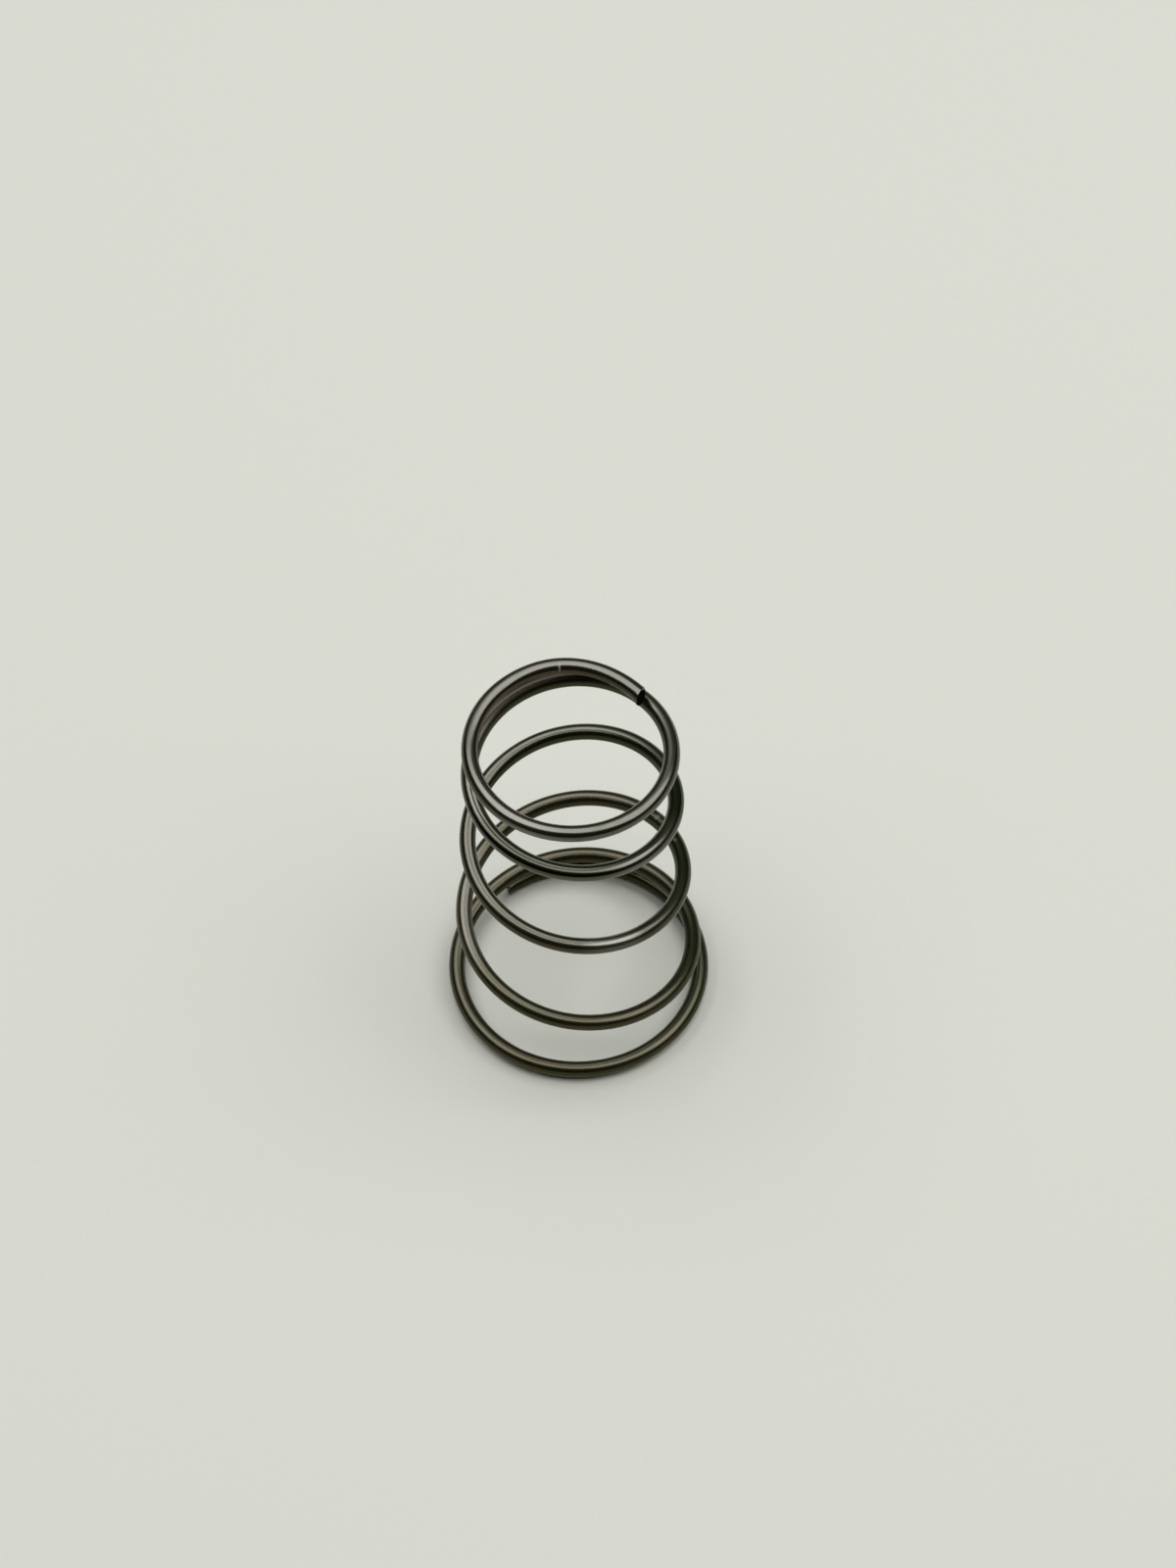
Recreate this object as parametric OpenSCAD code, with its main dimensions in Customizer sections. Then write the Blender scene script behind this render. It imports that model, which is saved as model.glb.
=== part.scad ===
// Conical compression spring, wound from one length of round wire.
// The axis is +Z, the wide end stands on z = 0 and the narrow end is on top.
// The wire is followed in turns: turn 0 is its upper tip and total_turns its lower tip.

/* [Wire] */
// Diameter of the round wire
wire_diameter = 0.85; // [0.7:0.05:1]
// Side that the wire climbs to: a left-hand spring climbs clockwise, seen from above
winding = "left"; // [left, right]
// Angle of the upper tip round the axis, from +X towards +Y
upper_tip_angle = 42; // [0:1:359]

/* [Coil] */
// Height of the unloaded spring, over the wire
free_length = 21.8; // [18:0.1:26]
// Outer diameter of the narrow upper end
small_outer_diameter = 11.1; // [9:0.1:13]
// Outer diameter of the wide lower end
large_outer_diameter = 14; // [13:0.1:18]
// Turns of wire from tip to tip
total_turns = 5.227; // [5:0.001:7]
// Power of the taper: 1 is a straight cone, and more keeps the upper turns nearly parallel
taper_power = 1.8; // [1:0.05:2.5]

/* [Closed ends] */
// Turns that lie closed at the narrow end
small_closed_turns = 0.45; // [0.4:0.01:0.6]
// Turns over which the pitch then opens, below the narrow end
small_runout_turns = 2.05; // [1.8:0.05:2.4]
// Turns that lie closed at the wide end
large_closed_turns = 0.68; // [0.65:0.01:0.8]
// Turns over which the pitch then opens, above the wide end
large_runout_turns = 1.02; // [0.7:0.02:1.1]
// Height left free between each tip and the turn that it closes on
closing_gap = 0.05; // [0.05:0.01:0.2]

/* [Drawn-in tips] */
// How far the upper tip is drawn in towards the axis
small_tip_draw = 0.33; // [0:0.01:0.6]
// How far the lower tip is drawn in towards the axis
large_tip_draw = 0.2; // [0:0.02:0.6]
// Turns over which each tip is drawn in
tip_draw_turns = 0.18; // [0.14:0.02:0.5]

/* [Sheared faces] */
// Slant of each sheared face away from a square cut
shear_angle = 18; // [0:1:20]
// How far the sheared face stands off the last full section of the wire
shear_length = 0.22; // [0.2:0.01:0.3]
// Part of the wire's radius that is rolled over where the blade went in
roll_over = 0.25; // [0:0.05:0.4]
// How far the burr stands off the sheared face, where the blade broke through
burr_height = 0.06; // [0:0.01:0.12]
// How far the burr spreads past the wire's round side
burr_spread = 0.1; // [0:0.01:0.12]
// How far back along the wire the burr's bulge begins
burr_reach = 0.2; // [0:0.02:0.2]
// Side of the wire that the burr is on: 180 faces the axis, 90 faces the spring's middle
burr_side = 150; // [90:5:180]

/* [Hidden] */

// Sections along the wire, and corners round each section
wire_sections = 364;
wire_sides = 16;

wire_radius = wire_diameter / 2;
small_radius = small_outer_diameter / 2 - wire_radius;
large_radius = large_outer_diameter / 2 - wire_radius;
turn_direction = winding == "left" ? 1 : -1;

// --- Pitch ---------------------------------------------------------------------------
// Counted from either tip, the pitch stays at its closed value for the closed turns. It
// then opens along a quarter of a sine wave, over the run-out turns, up to the active
// pitch. opened() adds up that opening: it is how many turns of the full step from closed
// to active pitch the wire has gained after so many turns.
function opened(turns, closed, runout) =
    let (along = min(max((turns - closed) / runout, 0), 1))
    runout * 2 / PI * (1 - cos(90 * along)) + max(turns - closed - runout, 0);

function small_opened(turns) = opened(turns, small_closed_turns, small_runout_turns);
function large_opened(turns) = opened(turns, large_closed_turns, large_runout_turns);

// Climb over the given turns from a tip
function climb(turns, opened_turns, closed_pitch) =
    closed_pitch * turns + (active_pitch - closed_pitch) * opened_turns;

// The two ends meet where the narrow end's pitch is fully open
upper_turns = small_closed_turns + small_runout_turns;
lower_turns = total_turns - upper_turns;

// One turn from a tip the wire has climbed over itself, with the closing gap between. That
// gives each closed pitch from the active one, and the free length then gives the active
// pitch: closed = (closing_climb - active * opened(1)) / (1 - opened(1)).
closing_climb = wire_diameter + closing_gap;
small_share = (upper_turns - small_opened(upper_turns)) / (1 - small_opened(1));
large_share = (lower_turns - large_opened(lower_turns)) / (1 - large_opened(1));
open_turns = small_opened(upper_turns) - small_share * small_opened(1)
    + large_opened(lower_turns) - large_share * large_opened(1);
active_pitch =
    (free_length - wire_diameter - closing_climb * (small_share + large_share)) / open_turns;
small_closed_pitch = (closing_climb - active_pitch * small_opened(1)) / (1 - small_opened(1));
large_closed_pitch = (closing_climb - active_pitch * large_opened(1)) / (1 - large_opened(1));

// --- Centre line ---------------------------------------------------------------------
// Smooth fall from 1 to 0 while x goes from 0 to 1
function fade(x) =
    let (t = min(max(x, 0), 1))
    1 - t * t * (3 - 2 * t);

// Mean radius: a power curve between the closed turns, less what each tip is drawn in
function coil_radius(turn) =
    let (
        tapered_turns = total_turns - small_closed_turns - large_closed_turns,
        along = min(max((turn - small_closed_turns) / tapered_turns, 0), 1)
    )
    small_radius + (large_radius - small_radius) * pow(along, taper_power)
        - small_tip_draw * fade(turn / tip_draw_turns)
        - large_tip_draw * fade((total_turns - turn) / tip_draw_turns);

// Height: counted down from the top over the upper turns, and up from the base below them
function coil_height(turn) =
    let (from_base = total_turns - turn)
    turn < upper_turns
        ? free_length - wire_radius - climb(turn, small_opened(turn), small_closed_pitch)
        : wire_radius + climb(from_base, large_opened(from_base), large_closed_pitch);

function coil_angle(turn) = upper_tip_angle + turn_direction * 360 * turn;
function outward(turn) = [cos(coil_angle(turn)), sin(coil_angle(turn)), 0];
function centre(turn) = coil_radius(turn) * outward(turn) + [0, 0, coil_height(turn)];

// --- Sections ------------------------------------------------------------------------
function unit(v) = v / norm(v);

// Direction of the wire, down the spring, from two points close on either side
function heading(turn) =
    let (step = 0.0005)
    unit(centre(turn + step) - centre(turn - step));

// A section is the wire's cross-section at one turn. Its corners are counted round the
// heading, from the side that faces outwards; the corner a quarter round faces the foot of
// a left-hand spring. Each corner has its own share of the radius and its own place along
// the wire, which is how the sheared faces get their slant, roll-over and burr.
function section(turn, shares, offsets) =
    let (
        along = heading(turn),
        out = unit(outward(turn) - (outward(turn) * along) * along),
        across = cross(along, out)
    )
    [for (i = [0 : wire_sides - 1])
        centre(turn) + offsets[i] * along
            + wire_radius * shares[i] * (cos(corner_angle(i)) * out + sin(corner_angle(i)) * across)];

function corner_angle(i) = 360 * i / wire_sides;
function even(value) = [for (i = [0 : wire_sides - 1]) value];

// --- Sheared faces -------------------------------------------------------------------
// side is 1 for the upper tip and -1 for the lower one. Both burrs point into the spring,
// which is down at the upper tip and up at the lower one, on the side next to the axis.
function burr_angle(side) = side * turn_direction * burr_side;

// 1 at the burr, 0 halfway round and -1 where the blade went in
function towards_burr(i, side) = cos(corner_angle(i) - burr_angle(side));

// Place of the slanted face along the wire, past the last full section
function face_offset(i, side, share) =
    shear_length + share * wire_radius * tan(shear_angle) * towards_burr(i, side);

// The burr is a lip on the rim that rises to 1 at its middle and is a few corners wide
burr_narrowness = 4;
function burr_lip(i, side) = pow(max(towards_burr(i, side), 0), burr_narrowness);

// The roll-over shortens the radius on the side where the blade went in
function rolled_share(i, side, amount) =
    1 - amount * pow((1 - towards_burr(i, side)) / 2, 2);

// Share of the wire's radius by which the burr bulges past the round side
function bulge(i, side) = burr_lip(i, side) * burr_spread / wire_radius;

// Sections of one tip, from the last full one outwards: shoulder, rim and face. The
// shoulder takes a third of the roll-over and all of the bulge, the rim keeps most of the
// bulge, and the face is a smaller ring inside the rim.
shoulder_part = 1 / 3;
rim_bulge = 0.7;
face_share = 0.7;
function tip_sections(turn, side) =
    let (
        corners = [0 : wire_sides - 1],
        shoulder = [for (i = corners) rolled_share(i, side, roll_over * shoulder_part) + bulge(i, side)],
        edge = [for (i = corners) rolled_share(i, side, roll_over)],
        rim = [for (i = corners) edge[i] + rim_bulge * bulge(i, side)],
        face = [for (i = corners) face_share * edge[i]],
        shoulder_start = [for (i = corners) face_offset(i, side, 1) - wire_radius * roll_over / 2],
        shoulder_at = [for (i = corners) shoulder_start[i] - burr_lip(i, side) * burr_reach],
        rim_at = [for (i = corners) face_offset(i, side, edge[i]) + burr_lip(i, side) * burr_height],
        face_at = [for (i = corners) face_offset(i, side, face[i])]
    )
    [
        section(turn, shoulder, -side * shoulder_at),
        section(turn, rim, -side * rim_at),
        section(turn, face, -side * face_at)
    ];

function reversed(list) = [for (i = [len(list) - 1 : -1 : 0]) list[i]];

// --- Coil ----------------------------------------------------------------------------
// One skin over all the sections, closed at each tip by a fan to the middle of its face
module spring_coil() {
    last_section = wire_sections - 1;
    sections = concat(
        reversed(tip_sections(0, 1)),
        [for (n = [0 : last_section])
            section(total_turns * n / last_section, even(1), even(0))],
        tip_sections(total_turns, -1)
    );
    corner_count = len(sections) * wire_sides;
    upper_middle = centre(0) - shear_length * heading(0);
    lower_middle = centre(total_turns) + shear_length * heading(total_turns);
    points = concat([for (ring = sections) each ring], [upper_middle, lower_middle]);

    function corner(n, i) = n * wire_sides + i % wire_sides;
    walls = [
        for (n = [0 : len(sections) - 2], i = [0 : wire_sides - 1]) each [
            [corner(n, i), corner(n + 1, i), corner(n + 1, i + 1)],
            [corner(n, i), corner(n + 1, i + 1), corner(n, i + 1)]
        ]
    ];
    upper_fan = [
        for (i = [0 : wire_sides - 1])
            [corner_count, corner(0, i), corner(0, i + 1)]
    ];
    lower_fan = [
        for (i = [0 : wire_sides - 1])
            [corner_count + 1, corner(len(sections) - 1, i + 1), corner(len(sections) - 1, i)]
    ];
    color([0.17, 0.165, 0.15])
        polyhedron(points, concat(walls, upper_fan, lower_fan), convexity = 12);
}

spring_coil();
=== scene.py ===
# %% [markdown]
# # A conical compression spring
#
# This lesson dresses a small conical spring, 21.8 mm tall, wound from one length of
# 0.85 mm steel wire. The imported CAD part fixes its size and place. Here the wire gets a
# skin that is fine enough for close views, the two sheared tips that a real spring has,
# and the dark finish of drawn wire that was stress relieved in an oven, with painted
# shade on the sides of the wire, on its right side and on the upper break, and a few
# painted glints.
#
# Everything is in metres, in the frame of the CAD part: the axis is +Z, the wide end
# stands on z = 0, and the narrow end is on top.

import math

import bpy
import numpy as np
from mathutils import Matrix, Vector


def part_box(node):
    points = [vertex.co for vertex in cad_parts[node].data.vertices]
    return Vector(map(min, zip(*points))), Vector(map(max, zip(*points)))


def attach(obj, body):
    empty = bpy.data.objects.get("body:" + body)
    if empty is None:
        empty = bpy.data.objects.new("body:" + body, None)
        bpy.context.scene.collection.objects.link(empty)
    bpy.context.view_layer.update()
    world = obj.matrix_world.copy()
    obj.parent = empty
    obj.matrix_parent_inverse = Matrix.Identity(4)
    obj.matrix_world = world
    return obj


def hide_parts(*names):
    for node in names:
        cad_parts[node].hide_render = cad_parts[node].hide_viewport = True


MM = 0.001


def in_mm(corners):
    return [[round(x / MM, 2) for x in corner] for corner in corners]


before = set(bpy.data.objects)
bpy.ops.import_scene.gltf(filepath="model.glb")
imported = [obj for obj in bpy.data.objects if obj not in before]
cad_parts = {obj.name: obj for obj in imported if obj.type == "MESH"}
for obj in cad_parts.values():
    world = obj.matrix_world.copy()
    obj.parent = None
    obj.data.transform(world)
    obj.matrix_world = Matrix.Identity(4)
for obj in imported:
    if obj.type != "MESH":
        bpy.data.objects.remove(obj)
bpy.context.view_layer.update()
low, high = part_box("spring_coil")
free_length = high.z - low.z

# %% [markdown]
# ## The camera
#
# The spring is seen from in front and well above, with a long lens held close, so that
# the coils show as open rings one behind another. The camera is made first, because the
# shape and the finish are judged through it. It could be aimed with a Track To
# constraint. Here its three axes are worked out instead, so that the small roll of a
# hand-held camera is one number.


# %% Camera
def add_object(name, data):
    """Makes an object around some data and puts it in the scene."""
    made = bpy.data.objects.new(name, data)
    bpy.context.scene.collection.objects.link(made)
    return made


view_elevation = math.radians(56.167)
view_roll = math.radians(-1.711)
view_distance = 301.23 * MM
aim_point = Vector((0.839 * MM, 0, 18.00 * MM))

forward = Vector((0, math.cos(view_elevation), -math.sin(view_elevation)))
level_right = Vector((1, 0, 0))
level_down = forward.cross(level_right)
right = math.cos(view_roll) * level_right - math.sin(view_roll) * level_down
down = math.sin(view_roll) * level_right + math.cos(view_roll) * level_down

camera_data = bpy.data.cameras.new("camera")
camera_data.lens = 135
camera_data.sensor_width = 36
camera = add_object("camera", camera_data)
axes = Matrix((right, -down, -forward)).transposed().to_4x4()
camera.matrix_world = Matrix.Translation(aim_point - view_distance * forward) @ axes
bpy.context.scene.camera = camera
print("camera at", in_mm([camera.matrix_world.translation])[0], "mm")

# %% [markdown]
# ## The line of the wire
#
# A coiling machine pushes wire against two pins, which bend it into turns, while a third
# tool sets the pitch. At each end the pitch tool is drawn back, and the turns close on
# each other. That is how the line is made here too: the pitch is the law, and the height
# is the sum of it. A Screw modifier could only give one constant pitch.
#
# The wire is followed in turns, from the upper tip at 0 to the lower tip. In the names,
# small is the narrow end on top and large is the wide end at the base.

# %% Sizes of the wire and the coil
wire_diameter = 0.85 * MM
small_outer_diameter = 11.1 * MM
large_outer_diameter = 14.0 * MM
total_turns = 5.227
upper_tip_angle = 42  # degrees, from +X towards +Y
taper_power = 1.8

small_closed_turns, small_runout_turns = 0.45, 2.05
large_closed_turns, large_runout_turns = 0.68, 1.02
closing_gap = 0.05 * MM
small_tip_draw, large_tip_draw, tip_draw_turns = 0.33 * MM, 0.2 * MM, 0.18

wire_radius = wire_diameter / 2
small_radius = small_outer_diameter / 2 - wire_radius
large_radius = large_outer_diameter / 2 - wire_radius
print("mean radius in mm:", small_radius / MM, "to", large_radius / MM)


# %% Pitch law
def opened(turns, closed, runout):
    """Turns of full opening that the wire has gained, counted from a tip. Nothing opens
    over the closed turns. Then the pitch rises as the first quarter of a sine, so its sum
    is runout * 2 / pi * (1 - cos), and after the run-out each turn adds one."""
    along = np.clip((turns - closed) / runout, 0, 1)
    eased = runout * 2 / np.pi * (1 - np.cos(np.pi / 2 * along))
    return eased + np.maximum(turns - closed - runout, 0)


def small_opened(turns):
    return opened(turns, small_closed_turns, small_runout_turns)


def large_opened(turns):
    return opened(turns, large_closed_turns, large_runout_turns)


def closed_pitch(opened_in_one):
    """Closed pitch that lifts the first turn from a tip by one closing climb: that climb
    less the active pitch times the opened part of the turn, over the rest of the turn."""
    return (closing_climb - active_pitch * opened_in_one) / (1 - opened_in_one)


# Both closed pitches depend on the active one, so the height is shared out first: it
# holds so many closing climbs at each end, and so many turns of the active pitch.
upper_turns = small_closed_turns + small_runout_turns
lower_turns = total_turns - upper_turns
closing_climb = wire_diameter + closing_gap
small_share = (upper_turns - small_opened(upper_turns)) / (1 - small_opened(1))
large_share = (lower_turns - large_opened(lower_turns)) / (1 - large_opened(1))
open_turns = (
    small_opened(upper_turns) - small_share * small_opened(1)
    + large_opened(lower_turns) - large_share * large_opened(1)
)
closed_height = closing_climb * (small_share + large_share)
active_pitch = (free_length - wire_diameter - closed_height) / open_turns
small_closed_pitch = closed_pitch(small_opened(1))
large_closed_pitch = closed_pitch(large_opened(1))
print("active pitch in mm:", round(float(active_pitch / MM), 3))


# %% Centre line
def fade(x):
    """Falls smoothly from 1 to 0 while x goes from 0 to 1: 1 - 3 x^2 + 2 x^3."""
    x = np.clip(x, 0, 1)
    return 1 - x * x * (3 - 2 * x)


def coil_radius(turns):
    """A power curve from the narrow to the wide mean radius, which stays level over the
    closed turns, less the amount by which each tip is drawn in towards the axis."""
    tapered = total_turns - small_closed_turns - large_closed_turns
    along = np.clip((turns - small_closed_turns) / tapered, 0, 1)
    drawn = small_tip_draw * fade(turns / tip_draw_turns)
    drawn = drawn + large_tip_draw * fade((total_turns - turns) / tip_draw_turns)
    return small_radius + (large_radius - small_radius) * along**taper_power - drawn


def coil_height(turns):
    """Counted down from the top over the upper turns, and up from the base below them:
    closed pitch times turns, plus the extra pitch times the opened turns."""
    from_base = total_turns - turns
    fall = small_closed_pitch * turns
    fall = fall + (active_pitch - small_closed_pitch) * small_opened(turns)
    rise = large_closed_pitch * from_base
    rise = rise + (active_pitch - large_closed_pitch) * large_opened(from_base)
    upper = high.z - wire_radius - fall
    lower = low.z + wire_radius + rise
    return np.where(turns < upper_turns, upper, lower)


def outward(turns):
    """Level unit direction away from the axis. The angle grows with the turns on the way
    down, which makes the winding left-handed."""
    angle = np.radians(upper_tip_angle + 360 * turns)
    return np.stack([np.cos(angle), np.sin(angle), np.zeros_like(angle)], axis=-1)


def centre(turns):
    """The radius times the outward direction, lifted to the height."""
    line = coil_radius(turns)[..., None] * outward(turns)
    line[..., 2] += coil_height(turns)
    return line


def unit(v):
    return v / np.linalg.norm(v, axis=-1, keepdims=True)


def heading(turns):
    """Unit direction of the wire, from two points of the line close on either side."""
    step = 0.0005
    return unit(centre(turns + step) - centre(turns - step))


fine_steps = 20000
fine_turns = np.linspace(0, total_turns, fine_steps + 1)
step_lengths = np.linalg.norm(np.diff(centre(fine_turns), axis=0), axis=1)
run_length = np.concatenate([[0], np.cumsum(step_lengths)])
wire_length = float(run_length[-1])
print("wire length in mm:", round(wire_length / MM, 1))

# %% [markdown]
# ## The sheared tips
#
# The machine cuts each spring off with one blow. The blade rolls the wire's edge over
# where it goes in, then the steel breaks through at a slight slant, and a burr is left
# on the far side. A Boolean cut would give a clean disc, which no cheap spring has. So
# each tip is a short run of extra sections: every corner of a section has its own share
# of the wire's radius and its own place along the wire.
#
# The sections run from the last full one to the middle of the cut: the shoulder that
# rolls over, the crest of the rim, a ring just inside it, and the broken face.

# %% Sections of one tip
wire_sides = 32
corner_angles = 2 * np.pi * np.arange(wire_sides) / wire_sides

shear_slant = math.tan(math.radians(18))
shear_length = 0.22 * MM
roll_over = 0.25
shoulder_margin = 0.1
burr_height = 0.06 * MM
burr_spread = 0.1 * MM
burr_reach = 0.2 * MM
burr_side = math.radians(150)
burr_narrowness = 4
crest_bulge = 0.7
inner_share, inner_lip = 0.93, 0.1
wave_height, wave_lobes, wave_twist = 0.012 * MM, 3, 9

shoulder_steps = np.radians([15, 30, 45, 60, 75])[:, None]
face_steps = np.array([0.8, 0.6, 0.4, 0.2])[:, None]


def tip_sections(side):
    """Shares of the radius and offsets along the wire, one row for each section. side is
    1 for the upper tip and -1 for the lower one.

    towards is the cosine of the angle from the burr: 1 at the burr and -1 opposite it.
    roll is what the rim loses of its radius: roll_over times ((1 - towards) / 2)^2.
    lip is a power of towards, which keeps the burr a few corners wide.
    The shoulder loses the roll along a quarter of an ellipse. At the burr it also bulges,
    as the sine of one and a half times the angle, and begins burr_reach further back.
    The face has waves, which fade out at its rim, at its middle and opposite the burr."""
    towards = np.cos(corner_angles - side * burr_side)
    roll = roll_over * ((1 - towards) / 2) ** 2
    lip = np.maximum(towards, 0) ** burr_narrowness
    bulge = lip * burr_spread / wire_radius
    edge = 1 - roll

    def face_at(share):
        """The slanted face: shear_length, plus the slant times the way to the burr."""
        return shear_length + share * wire_radius * shear_slant * towards

    rolled = roll * (1 - np.cos(shoulder_steps))
    shoulder = 1 - rolled + bulge * np.sin(1.5 * shoulder_steps)
    start = face_at(edge) - wire_radius * (roll + shoulder_margin) - lip * burr_reach
    shoulder_at = start + (face_at(edge) - start) * np.sin(shoulder_steps)

    crest = edge + crest_bulge * bulge
    crest_at = face_at(edge) + lip * burr_height
    inner = edge * inner_share
    inner_at = face_at(inner) + inner_lip * lip * burr_height

    face = face_steps * edge
    waves = np.sin(wave_lobes * corner_angles + wave_twist * face_steps)
    waves = waves * np.sin(np.pi * face_steps)
    broken_at = face_at(face) + wave_height * waves * (0.5 + 0.5 * towards)

    section_shares = np.vstack([shoulder, crest, inner, face])
    section_offsets = np.vstack([shoulder_at, crest_at, inner_at, broken_at])
    return section_shares, section_offsets


upper_shares, upper_offsets = tip_sections(1)
lower_shares, lower_offsets = tip_sections(-1)
tip_rows = len(upper_shares)
print(tip_rows, "extra sections at each tip")

# %% [markdown]
# ## The skin of the wire
#
# The skin is a grid with two parameters: how far along the wire, and how far round it.
# At each section two directions are square to the wire, one that faces away from the
# axis and one that faces the spring's foot, and a round section is carried along on
# them. A curve with a round bevel would give the same tube, but not the tips, and not a
# UV map in real lengths, which the drawing lines of the finish need.

# %% Skin
body_sections = 1700
turn_of = np.concatenate([
    np.zeros(tip_rows), np.linspace(0, total_turns, body_sections),
    np.full(tip_rows, total_turns),
])
full = np.ones((body_sections, wire_sides))
shares = np.vstack([upper_shares[::-1], full, lower_shares])
offsets = np.vstack([-upper_offsets[::-1], 0 * full, lower_offsets])


def carried_skin(turns, shares, offsets):
    """Points of the skin, sections by corners by xyz: the centre, plus the offset along
    the wire, plus the wire's radius times the share times a circle on the two cross
    directions."""
    along = heading(turns)
    flat = outward(turns)
    out = unit(flat - np.sum(flat * along, axis=1, keepdims=True) * along)
    footward = np.cross(along, out)
    circle = (
        np.cos(corner_angles)[None, :, None] * out[:, None]
        + np.sin(corner_angles)[None, :, None] * footward[:, None]
    )
    middle = centre(turns)[:, None] + offsets[..., None] * along[:, None]
    return middle + wire_radius * shares[..., None] * circle


skin = carried_skin(turn_of, shares, offsets)
tips = np.array([0.0, total_turns])
past_tips = np.array([[-shear_length], [shear_length]])
cut_middles = centre(tips) + past_tips * heading(tips)
print("skin grid:", skin.shape[0], "sections by", skin.shape[1], "corners")

# %% [markdown]
# Four neighbouring points of the grid make one face, in the order that turns it
# outwards, and each cut is closed by a fan of triangles round its middle. The faces
# could be added one at a time, but there are more than fifty thousand, and numpy writes
# them all as one array of point numbers.

# %% Mesh
section_count = len(turn_of)
last_section = section_count - 1
section = np.arange(last_section)[:, None]
corner = np.arange(wire_sides)
next_corner = (corner + 1) % wire_sides


def point_at(section, corner):
    """Number of a grid point: they are counted round each section, and on to the next."""
    return section * wire_sides + corner


quads = np.stack([
    point_at(section, corner), point_at(section, next_corner),
    point_at(section + 1, next_corner), point_at(section + 1, corner),
], axis=-1).reshape(-1, 4)

upper_middle = np.full(wire_sides, section_count * wire_sides)
lower_middle = upper_middle + 1
upper_fan = np.stack([upper_middle, next_corner, corner], axis=-1)
lower_fan = np.stack([
    lower_middle, point_at(last_section, corner), point_at(last_section, next_corner),
], axis=-1)

points = np.vstack([skin.reshape(-1, 3), cut_middles])
faces = quads.tolist() + upper_fan.tolist() + lower_fan.tolist()
wire_mesh = bpy.data.meshes.new("spring_wire")
wire_mesh.from_pydata(points.tolist(), [], faces)
wire_mesh.polygons.foreach_set("use_smooth", np.ones(len(faces), bool))
print(len(points), "points,", 2 * len(quads) + 2 * wire_sides, "triangles")

# %% [markdown]
# The UV map is a ruler for the finish. Its first coordinate is the length along the wire
# in millimetres, from the upper tip, and its second goes from 0 to 1 round the wire. An
# automatic unwrap would cut the wire into islands, and no mask could count along them.

# %% UV map in real lengths
along_mm = (np.interp(turn_of, fine_turns, run_length)[:, None] + offsets) / MM
round_start = np.broadcast_to(corner / wire_sides, (last_section, wire_sides))
round_end = np.broadcast_to((corner + 1) / wire_sides, (last_section, wire_sides))
quad_uv = np.stack([
    np.stack([along_mm[:-1], round_start], axis=-1),
    np.stack([along_mm[:-1, next_corner], round_end], axis=-1),
    np.stack([along_mm[1:, next_corner], round_end], axis=-1),
    np.stack([along_mm[1:], round_start], axis=-1),
], axis=2).reshape(-1, 2)


def fan_uv(rim_mm, middle_mm, first, second):
    """UV of a fan: each triangle has the middle, half-way round its side, and then two
    places on the rim, counted in corners."""
    half_way = (corner + 0.5) / wire_sides
    middle = np.stack([np.full(wire_sides, middle_mm), half_way], axis=-1)
    rim = [
        np.stack([rim_mm[place % wire_sides], place / wire_sides], axis=-1)
        for place in (first, second)
    ]
    return np.stack([middle, *rim], axis=1).reshape(-1, 2)


end_mm = (wire_length + shear_length) / MM
upper_uv = fan_uv(along_mm[0], -shear_length / MM, corner + 1, corner)
lower_uv = fan_uv(along_mm[-1], end_mm, corner, corner + 1)
all_uv = np.vstack([quad_uv, upper_uv, lower_uv])
uv_layer = wire_mesh.uv_layers.new(name="wire")
uv_layer.data.foreach_set("uv", all_uv.astype(np.float32).ravel())
print("UV from", all_uv[:, 0].min().round(2), "to", all_uv[:, 0].max().round(2), "mm")

# %% [markdown]
# The cut faces are the only places where the steel is not drawn but broken. They could
# have a material of their own, with a hard edge. Here a value on each point says how
# much of the break is there, 1 from the crest of the rim inwards, and the colour, the
# shine and the relief all read it.

# %% Attribute that marks the cut faces
cut_sections = tip_rows - len(shoulder_steps)
cut_rows = np.zeros(section_count)
cut_rows[:cut_sections] = 1
cut_rows[-cut_sections:] = 1
cut_value = np.concatenate([np.repeat(cut_rows, wire_sides), [1, 1]])
cut = wire_mesh.attributes.new("cut", "FLOAT", "POINT")
cut.data.foreach_set("value", cut_value.astype(np.float32))
wire_mesh.validate()
wire_mesh.update()

wire = add_object("drawn_wire", wire_mesh)
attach(wire, "root")
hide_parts("spring_coil")
print("cut points:", int(cut_value.sum()))

# %% [markdown]
# ## Writing shaders as sums
#
# Nodes could be placed and linked by hand, but a long shader is easier to read as an
# expression than as a web. So one small class makes the nodes of a material. Another
# wraps one output socket: adding, subtracting, multiplying or dividing it adds the Math
# node for that step.


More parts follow.
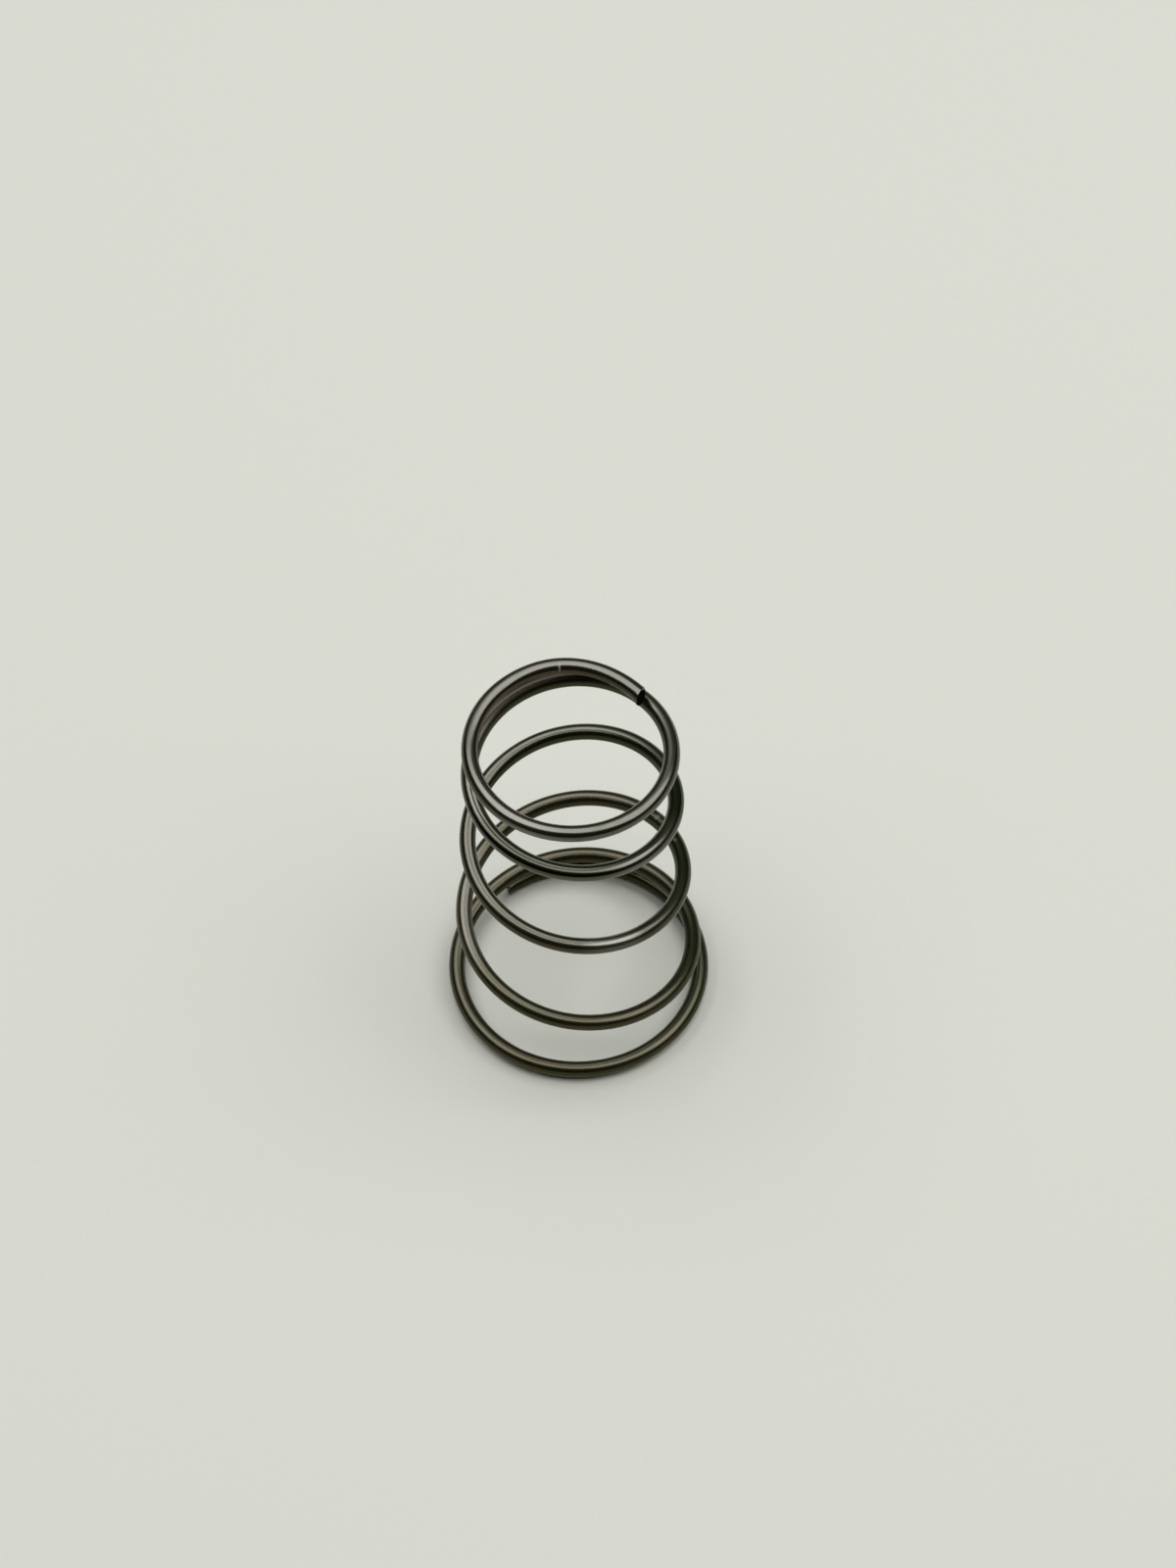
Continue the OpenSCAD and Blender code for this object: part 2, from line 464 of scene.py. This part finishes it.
# %% Socket wrapper
class Shader:
    """A node tree in which every node is made by one method."""

    def __init__(self, tree):
        self.tree = tree
        tree.nodes.clear()

    def node(self, kind, settings=None, **sockets):
        """Adds a node of a kind, sets its settings and then its sockets, by name with
        underscores for spaces, and returns the node. A socket takes a number, a colour
        or a Value."""
        made = self.tree.nodes.new(kind)
        for name, value in (settings or {}).items():
            setattr(made, name, value)
        for name, value in sockets.items():
            self.feed(made.inputs[name.replace("_", " ")], value)
        return made

    def feed(self, socket, value):
        if isinstance(value, Value):
            self.tree.links.new(value.socket, socket)
        else:
            socket.default_value = value

    def value(self, kind, output, settings=None, **sockets):
        """One output of a new node, by name or place, wrapped for maths."""
        return Value(self, self.node(kind, settings, **sockets).outputs[output])

    def in_order(self, kind, settings, *inputs):
        """The first output of a new node whose sockets are fed in their order."""
        made = self.node(kind, settings)
        for socket, value in zip(made.inputs, inputs):
            self.feed(socket, value)
        return Value(self, made.outputs[0])

    def math(self, operation, *inputs):
        return self.in_order("ShaderNodeMath", {"operation": operation}, *inputs)

    def mix_colour(self, factor, a, b):
        """Colour a where the factor is 0, and colour b where it is 1."""
        made = self.node("ShaderNodeMix", {"data_type": "RGBA"})
        colours = [socket for socket in made.inputs if socket.type == "RGBA"]
        self.feed(made.inputs[0], factor)
        self.feed(colours[0], a)
        self.feed(colours[1], b)
        mixed = [socket for socket in made.outputs if socket.type == "RGBA"]
        return Value(self, mixed[0])


class Value:
    """One output socket. The operators add Math nodes to its tree."""

    def __init__(self, shader, socket):
        self.shader = shader
        self.socket = socket

    def __add__(self, other):
        return self.shader.math("ADD", self, other)

    def __radd__(self, other):
        return self.shader.math("ADD", other, self)

    def __sub__(self, other):
        return self.shader.math("SUBTRACT", self, other)

    def __rsub__(self, other):
        return self.shader.math("SUBTRACT", other, self)

    def __mul__(self, other):
        return self.shader.math("MULTIPLY", self, other)

    def __rmul__(self, other):
        return self.shader.math("MULTIPLY", other, self)

    def __truediv__(self, other):
        return self.shader.math("DIVIDE", self, other)


print("shader maths is ready")

# %% [markdown]
# ## Places on the wire
#
# The finish changes along the wire and round it, so the material first works out where a
# point is. Object coordinates alone could tell its height and its side of the spring, but
# not how far along the wire it is, so the UV map is read as well. The map's second
# coordinate would show a seam, and is turned into a point on a circle.
#
# to_outside is 1 on the side away from the axis and -1 on the side next to it. to_foot is
# 1 on the side that faces the spring's foot and -1 on the side that faces its top. Along
# the wire, the first turn ends at 32 mm, the second at 65.5, the third at 101, the fourth
# at 139 and the fifth at 180.

# %% Place of a point
steel = bpy.data.materials.new("drawn_steel")
steel.use_nodes = True
finish = Shader(steel.node_tree)

wire_uv = finish.value("ShaderNodeUVMap", 0, {"uv_map": "wire"})
on_wire = finish.node("ShaderNodeSeparateXYZ", Vector=wire_uv)
mm_along = Value(finish, on_wire.outputs[0])
round_angle = Value(finish, on_wire.outputs[1]) * (2 * math.pi)
to_outside = finish.math("COSINE", round_angle)
to_foot = finish.math("SINE", round_angle)

in_space = finish.value("ShaderNodeTexCoord", "Object")
space_axes = finish.node("ShaderNodeSeparateXYZ", Vector=in_space)
to_right = Value(finish, space_axes.outputs[0])
height = Value(finish, space_axes.outputs[2])
print("nodes for places:", len(steel.node_tree.nodes))


# %% Masks and noise made from the place
def smooth_between(value, start, end):
    """Rises smoothly from 0 at start to 1 at end, or falls if end is the smaller."""
    smooth = {"interpolation_type": "SMOOTHSTEP"}
    return finish.in_order("ShaderNodeMapRange", smooth, value, start, end, 0.0, 1.0)


def plateau(value, start, full_start, full_end, end):
    """1 between the two inner numbers and 0 outside the outer two: a smooth rise times a
    smooth fall."""
    rise = smooth_between(value, start, full_start)
    return rise * smooth_between(value, end, full_end)


def stretch(mm, half_length):
    """1 in the middle of a length of the wire and 0 beyond its ends."""
    off_along = (mm_along - mm) / half_length
    return smooth_between(off_along * off_along, 1.0, 0.0)


def wire_noise(round_scale, along_scale, detail):
    """Noise on the wire's skin: a circle of the given size round it, carried along."""
    place = finish.value(
        "ShaderNodeCombineXYZ", 0,
        X=to_outside * round_scale, Y=to_foot * round_scale, Z=mm_along * along_scale,
    )
    return finish.value(
        "ShaderNodeTexNoise", 0, {"noise_dimensions": "3D"},
        Vector=place, Scale=1.0, Detail=detail, Roughness=0.55,
    )


# Lines run far along the wire, patches are broad, and the mottle is fine both ways
lines = wire_noise(4.0, 0.07, 1)
patches = wire_noise(0.7, 0.22, 2)
mottle = wire_noise(1.8, 0.9, 2)
towards_base = smooth_between(height, 20 * MM, 4 * MM)
print("nodes with masks:", len(steel.node_tree.nodes))

# %% [markdown]
# ## The colour of the oxide, and painted shade
#
# The wire is bright when it is drawn, with fine lines along it from the die. The oven
# that takes the stress out after coiling darkens it and leaves a thin oxide. So the
# reflection is that of a dark metal. Its colour drifts: neutral at the top of the spring,
# dimmer and straw towards its base, olive in a mottle and all over the second turn. Where
# that turn begins close under the first, its shielded top is brown. Painted shade makes
# the side at +X greener and dimmer below the top turns, tinted like the greenish room it
# reflects, and three short lengths on the right sides of the turns get a dark greenish
# painted shade. Some other short lengths are lighter.
#
# A painted image could hold all this. Masks that count along the wire need no file, stay
# sharp in close views, and can be moved one by one.

# %% Colour of the oxide, with painted shade on the right side
neutral = (0.160, 0.157, 0.143, 1)
straw = (0.096, 0.088, 0.058, 1)
olive = (0.086, 0.088, 0.065, 1)
brown = (0.105, 0.089, 0.070, 1)
right_shade_green = (0.045, 0.062, 0.032, 1)
shade_dark_green = (0.020, 0.036, 0.012, 1)
light_grey = (0.26, 0.25, 0.235, 1)
line_brown = (0.07, 0.066, 0.05, 1)

straw_part = towards_base * 0.85 + smooth_between(patches, 0.35, 0.65) * 0.15
tint = finish.mix_colour(straw_part, neutral, straw)
tint = finish.mix_colour(smooth_between(mottle, 0.5, 0.75) * 0.4, tint, olive)
second_turn = plateau(mm_along, 31, 36, 61, 67)
tint = finish.mix_colour(second_turn * 0.75, tint, olive)

# Painted shade and painted reflection: the side at +X turns greener and dimmer below the
# top turns, tinted like the greenish room it reflects
right_side_shade = smooth_between(to_right, 4.6 * MM, 6.2 * MM)
right_side_shade = right_side_shade * smooth_between(height, 18.5 * MM, 16.5 * MM)
tint = finish.mix_colour(right_side_shade * 0.45, tint, right_shade_green)
shielded = plateau(mm_along, 31, 35, 40, 47) * smooth_between(to_foot, 0.1, -0.9)
tint = finish.mix_colour(shielded * 0.75, tint, brown)

lighter = (
    stretch(16.6, 3.4) * 0.5  # first turn, left of its front
    + stretch(45.4, 2.6) * 0.6  # second turn, left side
    + stretch(57.5, 3.2) * 0.45  # second turn, right of its front
    + stretch(89.6, 1.9)  # third turn, front
    + stretch(115.2, 4.2) * 0.4  # fourth turn, left side
)
tint = finish.mix_colour(lighter, tint, light_grey)
# Painted shade, dark greenish, on the right sides of the second, third and fourth turns
right_turns_shade = stretch(61.3, 2.0) + stretch(97.5, 2.6) + stretch(134.4, 2.0) * 0.5
tint = finish.mix_colour(right_turns_shade * 0.6, tint, shade_dark_green)
# From here the oxide colour also carries the painted shade of the right side
oxide = finish.mix_colour(smooth_between(lines, 0.3, 0.7) * 0.22, tint, line_brown)
print("nodes with the oxide:", len(steel.node_tree.nodes))

# %% [markdown]
# Only a strip along the top of the wire is as light as that. Below it, the sides of the
# wire and its foot side get painted shade. The painted shade is weaker at the fronts of
# the first two turns, browner at the back of the first, and deeper and more olive along
# the last part of the wire. At the back of the third turn, painted shade reaches nearly up
# to the top. On the second turn, two narrow bands of painted shade on the upper part of
# the sides are almost black, one at the back of the coil and one in front.
#
# The painted shade could be a material of its own, but its edge would be hard. Each of
# these is a soft mask along the wire times a soft mask round it.

# %% Painted shade on the sides of the wire and the two black bands
# Colours of the painted shade, and the black of its two bands
shade_top_end = (0.030, 0.031, 0.008, 1)
shade_base_end = (0.034, 0.031, 0.005, 1)
shade_brown = (0.085, 0.058, 0.040, 1)
shade_olive = (0.024, 0.028, 0.005, 1)
third_shade_olive = (0.036, 0.040, 0.018, 1)
shade_black = (0.008, 0.007, 0.003, 1)

# Painted shade on the sides and the foot side of the wire, weaker at the fronts of the
# first two turns
weaker_shade = plateau(mm_along, 15, 19, 25, 29) * 0.6 + plateau(mm_along, 44, 48, 56, 60) * 0.8
flank_shade = smooth_between(to_foot, -0.70, -0.40) * (1.0 - weaker_shade)
shade_colour = finish.mix_colour(towards_base, shade_top_end, shade_base_end)
colour = finish.mix_colour(flank_shade * 0.72, oxide, shade_colour)

# Painted shade, browner at the back of the first turn and more olive along the last part
# of the wire
first_back_shade = smooth_between(mm_along, 17, 13)
colour = finish.mix_colour(flank_shade * first_back_shade * 0.6, colour, shade_brown)
last_full, last_start = wire_length / MM - 8, wire_length / MM - 18
last_part_shade = smooth_between(mm_along, last_start, last_full)
colour = finish.mix_colour(flank_shade * last_part_shade * 0.6, colour, shade_olive)
# Painted shade nearly up to the top at the back of the third turn
third_back_shade = plateau(mm_along, 62, 66, 74, 80) * smooth_between(to_foot, -0.97, -0.80)
colour = finish.mix_colour(third_back_shade * 0.6, colour, third_shade_olive)

# Two almost black bands of painted shade on the second turn, one in front and one at the
# back
front_shade_band = plateau(mm_along, 44, 48, 54, 59)
front_shade_band = front_shade_band * plateau(to_foot, -0.80, -0.68, -0.52, -0.36)
back_shade_band = plateau(mm_along, 33, 36, 40, 43)
back_shade_band = back_shade_band * plateau(to_foot, -0.97, -0.88, -0.66, -0.50)
black_shade_bands = finish.math("MAXIMUM", front_shade_band, back_shade_band)
colour = finish.mix_colour(black_shade_bands * 0.8, colour, shade_black)
print("nodes with the flanks:", len(steel.node_tree.nodes))

# %% [markdown]
# ## Scuffs and painted glints
#
# A few small scuffs show bright steel: one nick across the back of the top turn, and a
# rubbed spot on top of the third turn. Two more marks of the same bright colour are
# painted glints, small highlights on top of the second and third turns. The scuffs could
# be dented into the mesh, but at this size only their colour and their dull shine show. So
# each mark is one oval mask, placed by its length along the wire and its angle round it.


# %% Scuffs and painted glints
def mark(mm, degrees, half_length, half_angle):
    """1 in the middle of a small oval mark and 0 outside it. degrees is how far round the
    wire it is, from the outside towards the foot. The cosine of the angle from its middle
    falls from 1 by nearly half the angle squared, so twice that fall over half_angle
    squared counts as the square of the distance round."""
    turned = math.radians(degrees)
    off_round = 1.0 - (to_outside * math.cos(turned) + to_foot * math.sin(turned))
    off_along = (mm_along - mm) / half_length
    off_middle = off_along * off_along + off_round * (2 / half_angle**2)
    return smooth_between(off_middle, 1.6, 0.2)


nick = mark(4.58, 222, 0.07, 0.5)
# The marks at 34.05 mm and 98.6 mm are painted glints, small highlights; the one at 100.6
# mm is a rubbed spot
rubs_and_glints = mark(34.05, 252, 0.18, 0.4) + mark(100.6, 262, 0.15, 0.45)
rubs_and_glints = rubs_and_glints + mark(98.6, 257, 0.12, 0.25)
scuffs_and_glints = nick + rubs_and_glints * 0.45
# Bright steel for the scuffs, and the colour of the painted glints
bright_steel_and_glint = (0.30, 0.28, 0.24, 1)
colour = finish.mix_colour(scuffs_and_glints, colour, bright_steel_and_glint)
print("nodes with the scuffs:", len(steel.node_tree.nodes))

# %% [markdown]
# ## The broken faces
#
# At the tips the steel is broken and grainy. The upper break is painted nearly black as
# painted shade, and the lower one is lighter. An even grey would look like a saw cut, so a
# fine noise gives the grain.

# %% Colour of the two breaks, with painted shade on the upper one
grain_scale = 14000.0  # per metre, so a grain is about 0.07 mm
grain = finish.value(
    "ShaderNodeTexNoise", 0, {"noise_dimensions": "3D"},
    Vector=in_space, Scale=grain_scale, Detail=3.0, Roughness=0.6,
)
# Painted shade: the near black of the upper break stands for shade at the cut
upper_break_shade = finish.mix_colour(grain, (0.001, 0.001, 0.001, 1), (0.008, 0.008, 0.007, 1))
lower_break = finish.mix_colour(grain, (0.10, 0.096, 0.085, 1), (0.24, 0.235, 0.21, 1))
break_colour_and_shade = finish.mix_colour(towards_base, upper_break_shade, lower_break)
cut_mark = finish.value("ShaderNodeAttribute", "Fac", {"attribute_name": "cut"})
colour = finish.mix_colour(cut_mark, colour, break_colour_and_shade)
print("nodes with the breaks:", len(steel.node_tree.nodes))

# %% [markdown]
# ## The shine of the wire
#
# Drawn wire is smooth, so the strip of light on it has sharp sides. It gets a little
# rougher along the lines, in the mottle and towards the base, and much rougher on the
# shielded brown top, on the scuffs and painted glints, and on breaks. The upper break
# isn't
# metallic: it scatters what little light it gets, where a metal would mirror the room at
# a flat angle. The lines of the die could be grooves in the mesh, but they are finer than
# its corners, so a Bump node adds them.

# %% Shine and relief of the steel
roughness = 0.16 + 0.05 * lines + 0.05 * mottle + 0.07 * towards_base
roughness = roughness + cut_mark * 0.25 + scuffs_and_glints * 0.35 + shielded * 0.2
metallic = 1.0 - cut_mark * (1.0 - towards_base)
relief = lines * 0.6 + cut_mark * grain * 3.0
relief_depth = 0.01 * MM
bump = finish.value(
    "ShaderNodeBump", 0, Strength=0.04, Distance=relief_depth, Height=relief
)
surface = finish.value(
    "ShaderNodeBsdfPrincipled", 0,
    Base_Color=colour, Metallic=metallic, Roughness=roughness, Normal=bump,
    Specular_IOR_Level=0.0,
)
finish.node("ShaderNodeOutputMaterial", Surface=surface)
wire_mesh.materials.append(steel)
print("steel nodes:", len(steel.node_tree.nodes))

# %% [markdown]
# ## The floor
#
# The spring stands on a plain pale sheet with a slightly warm white. A woven cloth could
# be modelled, but its pattern would draw the eye from the thin wire. The sheet is large
# enough to fill the view from above on every side, and it is what the underside of the
# wire reflects.

# %% Floor
floor_half = 0.6
corners = np.array([[-1, -1, 0], [1, -1, 0], [1, 1, 0], [-1, 1, 0]]) * floor_half
floor_mesh = bpy.data.meshes.new("floor")
floor_mesh.from_pydata((corners + [0, 0, low.z]).tolist(), [], [(0, 1, 2, 3)])
floor = add_object("floor", floor_mesh)

pale_sheet = bpy.data.materials.new("pale_sheet")
pale_sheet.use_nodes = True
sheet_finish = Shader(pale_sheet.node_tree)
sheet_surface = sheet_finish.value(
    "ShaderNodeBsdfPrincipled", 0,
    Base_Color=(0.695, 0.702, 0.668, 1), Roughness=0.8, Specular_IOR_Level=0.2,
)
sheet_finish.node("ShaderNodeOutputMaterial", Surface=sheet_surface)
floor_mesh.materials.append(pale_sheet)
print("floor side in m:", 2 * floor_half)

# %% [markdown]
# ## The light
#
# Round wire shows a light as a strip along each turn. A small lamp would give only a thin
# glint, so one broad soft light hangs overhead, and the dim room around it gives the
# dark bands on both sides of the strip. Two weak lights stand for the rest of the room,
# a glow on the ceiling behind the spring and a greenish back wall, and lift those bands
# a little.


# %% Soft light overhead and a dim room
def soft_light(name, size, energy, colour, place, tilt=0, swing=0):
    """A rectangular light that faces down, tilted about X and then swung about Z, in
    degrees. Its size and place are in metres."""
    data = bpy.data.lights.new(name, "AREA")
    data.shape = "RECTANGLE"
    data.size, data.size_y = size
    data.energy = energy
    data.color = colour
    made = add_object(name, data)
    made.location = place
    made.rotation_euler = (math.radians(tilt), 0, math.radians(swing))


warm_white = (1.0, 0.995, 0.97)
pale_green = (0.78, 1.0, 0.66)
soft_light("softbox", (0.97, 0.49), 3.6, warm_white, (0.09, 0.045, 0.45), swing=-5)
soft_light("ceiling_glow", (0.42, 0.24), 0.16, warm_white, (-0.17, 0.43, 0.45))
soft_light("back_wall", (1.6, 0.5), 0.25, pale_green, (0.0, 0.75, 0.50), tilt=-57)

room = bpy.data.worlds.new("room")
room.use_nodes = True
bpy.context.scene.world = room
room_light = Shader(room.node_tree)
dim_room = room_light.value(
    "ShaderNodeBackground", 0, Color=(0.034, 0.037, 0.018, 1), Strength=1.0
)
room_light.node("ShaderNodeOutputWorld", Surface=dim_room)
print("lights:", [light.name for light in bpy.data.lights])

# %% [markdown]
# ## Colours
#
# The Standard view shows colours as they were set, where a filmic one would change their
# contrast. The skin has to fill the box of the part that it replaces.

bpy.context.scene.view_settings.view_transform = "Standard"
bpy.context.view_layer.update()
